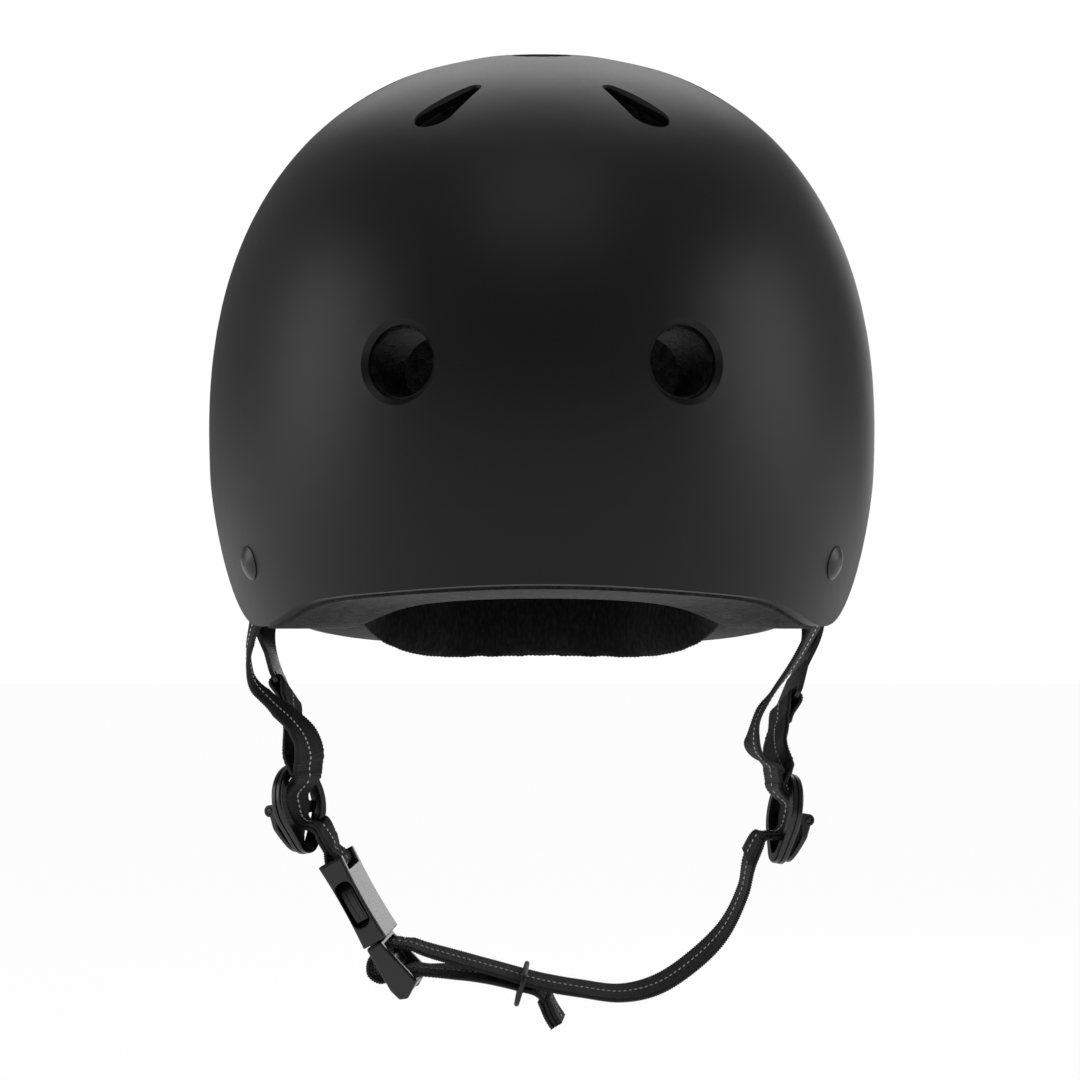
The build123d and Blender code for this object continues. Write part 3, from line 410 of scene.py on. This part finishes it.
def tube_faces(rings, sides, base=0, closed=False):
    """Faces of a tube of rings of points: its ends are joined if it is closed, and capped if not."""
    faces = []
    for i in range(rings if closed else rings - 1):
        here = base + i * sides
        onward = base + (i + 1) % rings * sides
        for k in range(sides):
            after = (k + 1) % sides
            faces.append((here + k, here + after, onward + after, onward + k))
    if not closed:
        faces.append(tuple(base + k for k in reversed(range(sides))))
        faces.append(tuple(base + (rings - 1) * sides + k for k in range(sides)))
    return faces


def strap_mesh(course):
    """Vertices and faces of one webbing layer along a course, and its run for the stitches."""
    even, line = run_through(course)
    tangent = unit(np.gradient(line[:, :3], axis=0))
    across = line[:, 3:6]
    across = unit(across - tangent * np.sum(across * tangent, axis=1, keepdims=True))
    normal = np.cross(tangent, across)
    centre = line[:, :3] + normal * line[:, 7:8]
    half = line[:, 6] / 2
    ring = cross_section()
    wave = 0.5 + 0.5 * np.cos(2 * math.pi * even / RIBS["pitch"])
    edge = np.abs(ring[:, 0]) > RIBS["edge_from"]
    depth = np.where(edge, RIBS["edge_height"], RIBS["height"])
    verts = []
    for i in range(len(even)):
        a = half[i] - np.where(edge, RIBS["scallop"], 0.0) * (1 - wave[i])
        z = HALF_THICK * ring[:, 1] * (1 - depth * (1 - wave[i]))
        verts.append(centre[i] + across[i] * (ring[:, 0] * a)[:, None] + normal[i] * z[:, None])
    faces = tube_faces(len(even), len(ring))
    return np.concatenate(verts), faces, (even, centre, tangent, across, normal)


def stitch_mesh(run):
    """Vertices and faces of the white dashes on both faces of a strap."""
    even, *frames = run
    verts = []
    faces = []
    place = STITCH["pitch"] / 2
    while place < even[-1] - STITCH["pitch"] / 2:
        centre, ahead, across, out = (read_at(place, even, table) for table in frames)
        for side in (-1, 1):
            middle = centre + out * side * HALF_THICK * STITCH["seat"]
            faces.extend(tube_faces(STITCH["rings"], STITCH["sides"], len(verts)))
            for r in range(STITCH["rings"]):
                angle = math.pi * (r + 0.5) / STITCH["rings"]
                for k in range(STITCH["sides"]):
                    turn = 2 * math.pi * k / STITCH["sides"]
                    onward = -math.cos(angle) * STITCH["length"] / 2
                    aside = math.sin(angle) * math.cos(turn) * STITCH["width"] / 2
                    above = math.sin(angle) * math.sin(turn) * STITCH["height"] / 2
                    verts.append(middle + ahead * onward + across * aside + out * above)
        place += STITCH["pitch"]
    return verts, faces


def add_mesh(whole, verts, faces, kind):
    """Vertices and faces of one material put into a whole of vertices, faces and their materials."""
    all_verts, all_faces, kinds = whole
    base = len(all_verts)
    all_verts.extend(np.asarray(verts, float).tolist())
    all_faces.extend(tuple(base + k for k in face) for face in faces)
    kinds.extend([kind] * len(faces))


def piece(name, whole, materials):
    """A smooth object from a whole of vertices, faces and their materials."""
    verts, faces, kinds = whole
    mesh = bpy.data.meshes.new(name)
    mesh.from_pydata(verts, [], faces)
    mesh.polygons.foreach_set("material_index", kinds)
    mesh.polygons.foreach_set("use_smooth", [True] * len(faces))
    for m in materials:
        mesh.materials.append(m)
    mesh.update()
    obj = bpy.data.objects.new(name, mesh)
    bpy.context.scene.collection.objects.link(obj)
    return obj


def webbing(name, node, courses):
    """One object from its layers' courses in millimetres; it stands for the CAD node."""
    whole = ([], [], [])
    for course in courses:
        scaled = [[c * MM for c in p[:3]] + list(p[3:6]) + [p[6] * MM, p[7] * MM] for p in course]
        verts, faces, run = strap_mesh(scaled)
        add_mesh(whole, verts, faces, 0)
        add_mesh(whole, *stitch_mesh(run), 1)
    obj = piece(name, whole, [looks["webbing"], thread])
    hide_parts(node)
    return obj


# Every course below is in millimetres, and each of its rows is a point, a direction across, a width and
# how far the strap is shifted along its face there
WIDTH = 16.0
# How far from the middle each of two layers lies, side by side and where a strap returns from a bar
LAYER = 0.75
DOUBLED = 0.77
# The turns at which a strap's fold round a bar gets a row
FOLD_DEGREES = (-90, -45, 0, 45, 90)


def rows(points, across, width=WIDTH, shift=0.0):
    """A course's rows: each of direction across, width and shift is one for all points or one each."""
    out = []
    for i, point in enumerate(points):
        a = across[i] if isinstance(across, list) else across
        w = width[i] if isinstance(width, list) else width
        s = shift[i] if isinstance(shift, list) else shift
        out.append(tuple(point) + tuple(a) + (w, s))
    return out


def fold(bar, along, before, radius, width):
    """Rows round a bar for a strap that reaches it from a point and goes back the same way."""
    bar = np.array(bar, float)
    along = unit(np.array(along, float))
    reach = bar - np.array(before, float)
    reach = unit(reach - along * np.dot(reach, along))
    side = np.cross(reach, along)
    out = []
    for degrees in FOLD_DEGREES:
        turn = math.radians(degrees)
        point = bar + radius * (math.cos(turn) * reach + math.sin(turn) * side)
        out.append(tuple(point) + tuple(along) + (width, 0.0))
    return out


def looped(points, across, bar, along, radius, width, onward=()):
    """A strap that comes to a bar, goes round it and comes back on itself, then goes onward."""
    leg = rows(points, across, width, -DOUBLED)
    back = list(reversed(leg))
    last = width[-1] if isinstance(width, list) else width
    return leg + fold(bar, along, points[-1], radius, last) + back + list(onward)


FRONT_TOP = [
    (86.8, -74.4, -127.8), (88.3, -70.2, -131.6), (89.7, -65.8, -135.4), (90.7, -61.2, -139.2),
    (91.3, -56.5, -142.9), (91.6, -51.7, -146.7), (91.6, -46.8, -150.4),
]
FRONT_TOP_ACROSS = [
    (-0.48, -0.88, 0), (-0.45, -0.89, 0), (-0.42, -0.91, 0), (-0.40, -0.92, 0),
    (-0.37, -0.93, 0), (-0.34, -0.94, 0), (-0.31, -0.95, 0),
]
FRONT_LEFT = [
    (84.4, -38.1, -166.1), (75.4, -31.0, -180.2), (71.6, -24.8, -188.8), (71.6, -19.3, -198.1),
    (77.0, -12.1, -204.6), (77.3, -12.2, -206.6), (77.8, -12.3, -209.9),
]
FRONT_LEFT_ACROSS = [
    (-0.20, -0.98, 0.01), (-0.08, -1, 0.02), (0.04, -1, 0.03), (0.15, -0.99, 0.04),
    (0.26, -0.96, 0.05), (0.26, -0.96, 0.05), (0.26, -0.96, 0.05),
]
FRONT_RIGHT = [
    (-94.6, -42.2, -158.5), (-96.3, -37.2, -167.1), (-95.1, -32.0, -175.3), (-89.5, -26.8, -182.4),
    (-83.1, -20.6, -189.0), (-79.4, -17.0, -194.6), (-77.8, -14.0, -201.2), (-78.1, -13.8, -203.3),
    (-78.4, -13.6, -206.6),
]
FRONT_RIGHT_ACROSS = [
    (-0.20, 0.98, 0), (-0.08, 1, 0), (0.05, 1, 0), (0.19, 0.98, 0), (0.31, 0.95, 0),
    (0.43, 0.90, 0), (0.53, 0.85, 0), (0.53, 0.85, 0), (0.53, 0.85, 0),
]
DIVIDER_WIDTHS = [15.5, 14.7, 13.4, 12.8, 13.1, 13.4, 12.8, 8.6, 7.7, 8.3]
DIVIDER_LEFT = [
    (78.4, -12.0, -209.5), (78.3, -12.1, -210.7), (79.0, -12.0, -212.2), (80.6, -11.7, -213.9),
    (82.3, -11.3, -215.4), (83.2, -11.2, -217.3), (82.6, -11.5, -221.3), (81.4, -12.1, -224.9),
    (79.0, -12.8, -227.1), (75.5, -13.8, -227.2),
]
DIVIDER_RIGHT = [
    (-78.9, -13.3, -206.1), (-78.8, -13.3, -207.3), (-79.4, -13.0, -208.9), (-80.8, -12.1, -210.5),
    (-82.2, -11.2, -212.1), (-83.0, -10.7, -214.0), (-82.4, -11.1, -218.1), (-81.3, -11.8, -221.6),
    (-79.1, -13.2, -223.7), (-76.1, -15.1, -223.9),
]
LONG = [
    (75.2, -13.9, -227.3), (73.5, -14.3, -227.3), (69.5, -12.5, -235.1), (67.4, -12.5, -245.9),
    (60.7, -12.5, -259.3), (50, -12.5, -270.0), (38.3, -12.5, -277.5), (26.5, -12.5, -280.2),
    (13.1, -12.5, -278.7), (0, -12.5, -276.4), (-15.3, -12.5, -272.1), (-30.5, -12.5, -267.9),
    (-38.9, -12.5, -265.5), (-43.8, -13.1, -263.7), (-46.7, -12.8, -263.4),
]
LONG_WIDTHS = [9.0, 11.5] + [WIDTH] * 13
LONG_SHIFTS = [LAYER, LAYER, 0.4] + [0.0] * 12
# The long strap's lap: a second layer along its first rows, where it leaves the left divider
LAP_ROWS = 3
LAP_SHIFTS = [-LAYER, -LAYER, -1.1]
LONG_ACROSS = [
    (-0.26, 0.96, -0.05), (-0.26, 0.96, -0.05), (-0.18, 0.98, 0.05), (-0.09, 0.98, 0.19),
    (0, 0.94, 0.34), (0, 0.95, 0.33), (0, 0.96, 0.28), (0, 0.97, 0.22), (0, 0.98, 0.21),
    (0, 0.98, 0.21), (0, 0.98, 0.17), (0, 0.99, 0.16), (0, 0.99, 0.14), (0.12, 0.99, 0.07),
    (0.12, 0.99, 0.07),
]
TAIL = [
    (-47.0, -12.7, -263.4), (-49.2, -12.5, -263.1), (-51.6, -12.1, -263.7), (-53.8, -11.8, -265.2),
    (-56.6, -11.2, -268.3), (-56.6, -10.9, -273.0), (-52.9, -11.2, -275.3), (-49.3, -11.7, -273.9),
    (-47.0, -12.1, -272.4), (-43.8, -12.5, -272.0), (-37.4, -13.3, -272.5), (-30, -12.5, -273.0),
    (-24, -12.5, -273.6), (-18, -12.5, -274.4), (-12, -12.5, -275.7), (-7, -12.5, -277.0),
    (-2, -12.5, -278.5), (1, -12.5, -281.4), (3, -12.5, -286.0), (5.5, -12.5, -290.0),
]
TAIL_ACROSS = (
    [(0.12, 0.99, 0.07)] * 9 + [(0.06, 0.99, 0.1)] * 2 + [(0, 0.99, 0.16)] * 2 + [(0, 0.98, 0.18)] * 7
)
# The tail's end is folded over along its last rows
FOLDED_ROWS = 3
# How far the rear straps are shifted along their faces after their folds
REAR_SHIFTS = [-0.3, 0.0, 0.0, 0.0]
# Each rear strap: its bar, the leg that reaches it, and the way down to the divider after the fold
REAR = {
    "left": {
        "bar": (83.5, 11.0, -185.2), "along": (-0.375, 0.789, -0.488), "radius": 2.1,
        "leg": [(80.5, 4.9, -192.8), (81.4, 6.7, -190.5)],
        "onward": [
            (79.6, -6.3, -199.0), (81.2, -11.1, -205.3), (80.3, -11.4, -207.2), (79.0, -11.8, -209.9),
        ],
        "onward_across": [
            (-0.33, 0.90, -0.28), (-0.26, 0.96, -0.05), (-0.26, 0.96, -0.05), (-0.26, 0.96, -0.05),
        ],
    },
    "right": {
        "bar": (-87.3, 5.5, -180.8), "along": (-0.362, -0.680, 0.638), "radius": 2.1,
        "leg": [(-84.5, -1.9, -187.1), (-85.3, 0.3, -185.2)],
        "onward": [
            (-82.6, -7.7, -194.5), (-81.5, -11.7, -202.0), (-80.6, -12.2, -203.8), (-79.4, -12.9, -206.7),
        ],
        "onward_across": [
            (-0.47, -0.81, 0.34), (-0.53, -0.85, 0), (-0.53, -0.85, 0), (-0.53, -0.85, 0),
        ],
    },
}
SHORT = {
    "leg": [(-75.8, -15.2, -223.9), (-74.3, -16.2, -224.0), (-70.6, -12.1, -230.4), (-70.4, -12.0, -232.0)],
    "leg_across": [(0.53, 0.85, 0), (0.40, 0.92, 0.02), (0.12, 0.99, 0.07), (0.12, 0.99, 0.07)],
    "bar": (-68.2, -12.0, -235.9), "along": (0.12, 0.99, 0.07), "radius": 2.5,
    "widths": [9.0, 11.5, WIDTH, WIDTH],
}


def mirrored(points):
    """The same points on the helmet's other side."""
    return [(-x, y, z) for x, y, z in points]


def straps():
    """Every webbing piece, each in the place of its CAD solid; the divider straps ride on their dividers
    and the tail on the plug.
    """
    made = {}
    course = rows(FRONT_TOP, FRONT_TOP_ACROSS) + rows(FRONT_LEFT, FRONT_LEFT_ACROSS)
    made["left"] = webbing("front_strap_left", "front_webbing_left", [course])
    course = rows(mirrored(FRONT_TOP), [(x, -y, z) for x, y, z in FRONT_TOP_ACROSS])
    course += rows(FRONT_RIGHT, FRONT_RIGHT_ACROSS)
    made["right"] = webbing("front_strap_right", "front_webbing_right", [course])
    for side, sign, level in (("left", 1, -208.0), ("right", -1, -204.5)):
        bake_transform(made[side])
        facts = REAR[side]
        onward = rows(facts["onward"], facts["onward_across"], WIDTH, REAR_SHIFTS)
        along = facts["along"]
        course = looped(facts["leg"], along, facts["bar"], along, facts["radius"], WIDTH, onward)
        rear = webbing("rear_strap_" + side, "rear_webbing_" + side, [course])
        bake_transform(rear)
    for side, points, across in (
        ("left", DIVIDER_LEFT, (-0.26, 0.96, -0.05)),
        ("right", DIVIDER_RIGHT, (-0.53, -0.85, 0)),
    ):
        layers = [rows(points, across, DIVIDER_WIDTHS, s) for s in (-LAYER, LAYER)]
        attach(webbing("divider_strap_" + side, "divider_webbing_" + side, layers), "divider_" + side)
    course = looped(
        SHORT["leg"], SHORT["leg_across"], SHORT["bar"], SHORT["along"], SHORT["radius"], SHORT["widths"],
    )
    short = webbing("chin_strap_short", "chin_webbing_short", [course])
    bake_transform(short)
    main = rows(LONG, LONG_ACROSS, LONG_WIDTHS, LONG_SHIFTS)
    lap = rows(LONG[:LAP_ROWS], LONG_ACROSS[:LAP_ROWS], LONG_WIDTHS[:LAP_ROWS], LAP_SHIFTS)
    long_strap = webbing("chin_strap_long", "chin_webbing_long", [main, lap])
    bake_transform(long_strap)
    layers = [rows(TAIL, TAIL_ACROSS)]
    for shift in (-2 * LAYER, 2 * LAYER):
        layers.append(rows(TAIL[-FOLDED_ROWS:], TAIL_ACROSS[-FOLDED_ROWS:], WIDTH, shift))
    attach(webbing("strap_tail", "webbing_tail", layers), "plug")


def settled(obj):
    """The object's mesh with all its modifiers applied."""
    mesh = bpy.data.meshes.new_from_object(obj.evaluated_get(bpy.context.evaluated_depsgraph_get()))
    old = obj.data
    obj.modifiers.clear()
    obj.data = mesh
    bpy.data.meshes.remove(old)
    return mesh


def evened(obj, voxel):
    """The object's mesh rebuilt in even faces of about the voxel's size."""
    remesh = obj.modifiers.new("even", "REMESH")
    remesh.mode = "VOXEL"
    remesh.voxel_size = voxel
    return settled(obj)


def smoothed(obj, passes):
    """The object's mesh with its edges eased, more so with more passes."""
    smooth = obj.modifiers.new("ease", "SMOOTH")
    smooth.factor = 0.5
    smooth.iterations = passes
    return settled(obj)


def points_of(mesh):
    """The mesh's vertices as rows of three."""
    v = np.empty(len(mesh.vertices) * 3)
    mesh.vertices.foreach_get("co", v)
    return v.reshape(-1, 3)


def set_points(mesh, v):
    """Moves the mesh's vertices to the given rows."""
    mesh.vertices.foreach_set("co", np.ascontiguousarray(v, float).ravel())
    mesh.update()


def normals_of(mesh):
    """The outward directions at the mesh's vertices."""
    v = np.empty(len(mesh.vertices) * 3)
    mesh.vertex_normals.foreach_get("vector", v)
    return v.reshape(-1, 3)


# How a pad is evened out, puffed up and swollen, and how much of that is left over its foam
PAD = {
    "first_voxel": 1.5 * MM,
    "puffed": 2.5 * MM,
    "voxel": 4 * MM,
    "quality": 5,
    "pressure": 4.0,
    "frames": 20,
    "cap": 1.6 * MM,
    "levels": 2,
    "skin": 0.35 * MM,
    "swell_share": 0.3,
}
# How the rear pad's lower rim is evened: steps round it, steps left out at each end, the share of the way
# round over which it fades out, the height to which it reaches, and the smoothing after each round
RIM = {"steps": 60, "ends": 5, "ease_share": 0.18, "fade": 16 * MM, "passes": (14, 4)}
# A seam's thickness and lumps, the smoothing of its line, and the least that counts as a line
SEAM = {
    "radius": 0.5 * MM,
    "lump": 0.12 * MM,
    "pitch": 1.6 * MM,
    "fewest_lumps": 4,
    "lump_points": 4,
    "sides": 8,
    "line_passes": 12,
    "line_points": 30,
    "line_gap": 6 * MM,
}


def inflate(obj):
    """Cloth under pressure, with no point moved further than the cap."""
    start = points_of(obj.data)
    cloth = obj.modifiers.new("swell", "CLOTH")
    cloth.settings.quality = PAD["quality"]
    cloth.settings.use_pressure = True
    cloth.settings.uniform_pressure_force = PAD["pressure"]
    cloth.settings.effector_weights.gravity = 0
    cloth.point_cache.frame_start = 1
    cloth.point_cache.frame_end = PAD["frames"]
    scene = bpy.context.scene
    for number in range(1, PAD["frames"] + 1):
        scene.frame_set(number)
    mesh = settled(obj)
    scene.frame_set(1)
    moved = points_of(mesh) - start
    length = np.linalg.norm(moved, axis=1, keepdims=True)
    set_points(mesh, start + moved * np.minimum(1, PAD["cap"] / np.maximum(length, TINY)))


def drawn_in(mesh, form):
    """The fabric drawn in over its foam: a thin skin, thicker where the cloth has swollen more."""
    places = [tuple(v) for v in points_of(form)]
    tree = BVHTree.FromPolygons(places, [tuple(p.vertices) for p in form.polygons])
    moved = []
    for point in points_of(mesh):
        near = np.array(tree.find_nearest(Vector(point))[0])
        away = point - near
        reach = np.linalg.norm(away)
        swollen = min(max(reach - PAD["puffed"], 0), PAD["cap"])
        moved.append(near + away / max(reach, TINY) * (PAD["skin"] + PAD["swell_share"] * swollen))
    set_points(mesh, np.array(moved))


def even_lower_edge(mesh):
    """The lower rim drawn to one smooth curve round the head, fading out a little way up."""
    v = points_of(mesh)
    turn = np.arctan2(v[:, 0], v[:, 1])
    steps = np.linspace(turn.min(), turn.max(), RIM["steps"] + 1)
    middle = (steps[1:] + steps[:-1]) / 2
    place = np.clip(np.digitize(turn, steps) - 1, 0, RIM["steps"] - 1)
    low = np.array([v[place == k, 2].min() for k in range(RIM["steps"])])
    inner = slice(RIM["ends"], RIM["steps"] - RIM["ends"])
    smooth = np.polyval(np.polyfit(middle[inner] ** 2, low[inner], 2), middle**2)
    fade = np.clip((1 - np.abs(middle) / abs(middle).max()) / RIM["ease_share"], 0, 1)
    rise = np.interp(turn, middle, (smooth - low) * fade)
    height = v[:, 2] - np.interp(turn, middle, low)
    v[:, 2] += rise * np.clip(1 - height / RIM["fade"], 0, 1)
    set_points(mesh, v)


def rim_lines(mesh, facing):
    """Closed lines where the mesh turns from the head's side to the liner's, without the short ones."""
    v = points_of(mesh)
    if facing == "up":
        out = np.tile([0.0, 0.0, 1.0], (len(v), 1))
    else:
        out = unit(v * [1.0, 1.0, 0.0])
    value = np.sum(normals_of(mesh) * out, axis=1)
    crossing = {}
    links = {}
    for face in mesh.polygons:
        ids = list(face.vertices)
        cut = []
        for a, b in zip(ids, ids[1:] + ids[:1]):
            if (value[a] > 0) != (value[b] > 0):
                key = (min(a, b), max(a, b))
                share = value[a] / (value[a] - value[b])
                crossing[key] = v[a] + (v[b] - v[a]) * share
                cut.append(key)
        if len(cut) == 2:
            links.setdefault(cut[0], []).append(cut[1])
            links.setdefault(cut[1], []).append(cut[0])
    lines = []
    seen = set()
    for first in sorted(links):
        if first in seen:
            continue
        chain = [first]
        seen.add(first)
        while True:
            after = [k for k in links[chain[-1]] if k not in seen]
            if not after:
                break
            seen.add(after[0])
            chain.append(after[0])
        line = np.array([crossing[k] for k in chain])
        if len(line) > SEAM["line_points"] and np.linalg.norm(line[0] - line[-1]) < SEAM["line_gap"]:
            lines.append(line)
    return lines


def seam_mesh(line):
    """Vertices and faces of a lumpy overlocked edge along a closed line."""
    for _ in range(SEAM["line_passes"]):
        line = 0.5 * line + 0.25 * (np.roll(line, 1, axis=0) + np.roll(line, -1, axis=0))
    closed = np.vstack([line, line[:1]])
    along = arc_lengths(closed)
    lumps = max(int(along[-1] / SEAM["pitch"]), SEAM["fewest_lumps"])
    count = lumps * SEAM["lump_points"]
    path = read_at(np.linspace(0, along[-1], count, endpoint=False), along, closed)
    tangent = unit(np.roll(path, -1, axis=0) - np.roll(path, 1, axis=0))
    inward = unit(path.mean(axis=0) - path)
    side = unit(np.cross(tangent, inward))
    up = np.cross(side, tangent)
    lump = np.cos(2 * math.pi * np.arange(count) / SEAM["lump_points"])
    radius = SEAM["radius"] + SEAM["lump"] * lump
    verts = []
    for k in range(SEAM["sides"]):
        turn = 2 * math.pi * k / SEAM["sides"]
        verts.append(path + radius[:, None] * (math.cos(turn) * up + math.sin(turn) * side))
    verts = np.stack(verts, axis=1).reshape(-1, 3)
    return verts, tube_faces(count, SEAM["sides"], closed=True)


def pad(node, facing):
    """A foam pad in knit fabric, swollen by simulation, with an overlocked seam round its rim."""
    source = nodes[node]
    obj = bpy.data.objects.new(node.replace("_pad", "_cushion"), source.data.copy())
    bpy.context.scene.collection.objects.link(obj)
    mesh = evened(obj, PAD["first_voxel"])
    set_points(mesh, points_of(mesh) + normals_of(mesh) * PAD["puffed"])
    evened(obj, PAD["voxel"])
    inflate(obj)
    obj.modifiers.new("fine", "SUBSURF").levels = PAD["levels"]
    mesh = settled(obj)
    drawn_in(mesh, source.data)
    if node == "rear_pad":
        for passes in RIM["passes"]:
            even_lower_edge(mesh)
            mesh = smoothed(obj, passes)
    whole = ([], [], [])
    add_mesh(whole, points_of(mesh), [tuple(p.vertices) for p in mesh.polygons], 0)
    for line in rim_lines(mesh, facing):
        add_mesh(whole, *seam_mesh(line), 1)
    name = obj.name
    bpy.data.objects.remove(obj)
    cushion = piece(name, whole, [looks["pad_knit"], looks["hook_tape"]])
    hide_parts(node)
    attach(cushion, "helmet")


def softened(node, body, voxel, passes):
    """A moulded piece with its edges eased, in the place of its CAD solid."""
    obj = bpy.data.objects.new(node + "_moulding", nodes[node].data.copy())
    bpy.context.scene.collection.objects.link(obj)
    evened(obj, voxel)
    mesh = smoothed(obj, passes)
    mesh.polygons.foreach_set("use_smooth", [True] * len(mesh.polygons))
    mesh.materials.clear()
    mesh.materials.append(looks["moulded_black"])
    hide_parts(node)
    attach(obj, body)


for node, body, voxel, passes in (
    ("buckle_socket", "chin_loop", 0.3 * MM, 9),
    ("buckle_plug", "plug", 0.3 * MM, 9),
    ("cam_lever_right", "cam_right", 0.35 * MM, 5),
    ("cam_lever_left", "cam_left", 0.35 * MM, 5),
):
    softened(node, body, voxel, passes)
straps()
for node in ("brow_pad", "rear_pad", "side_pad_left", "side_pad_right"):
    pad(node, "side")
pad("crown_pad", "up")
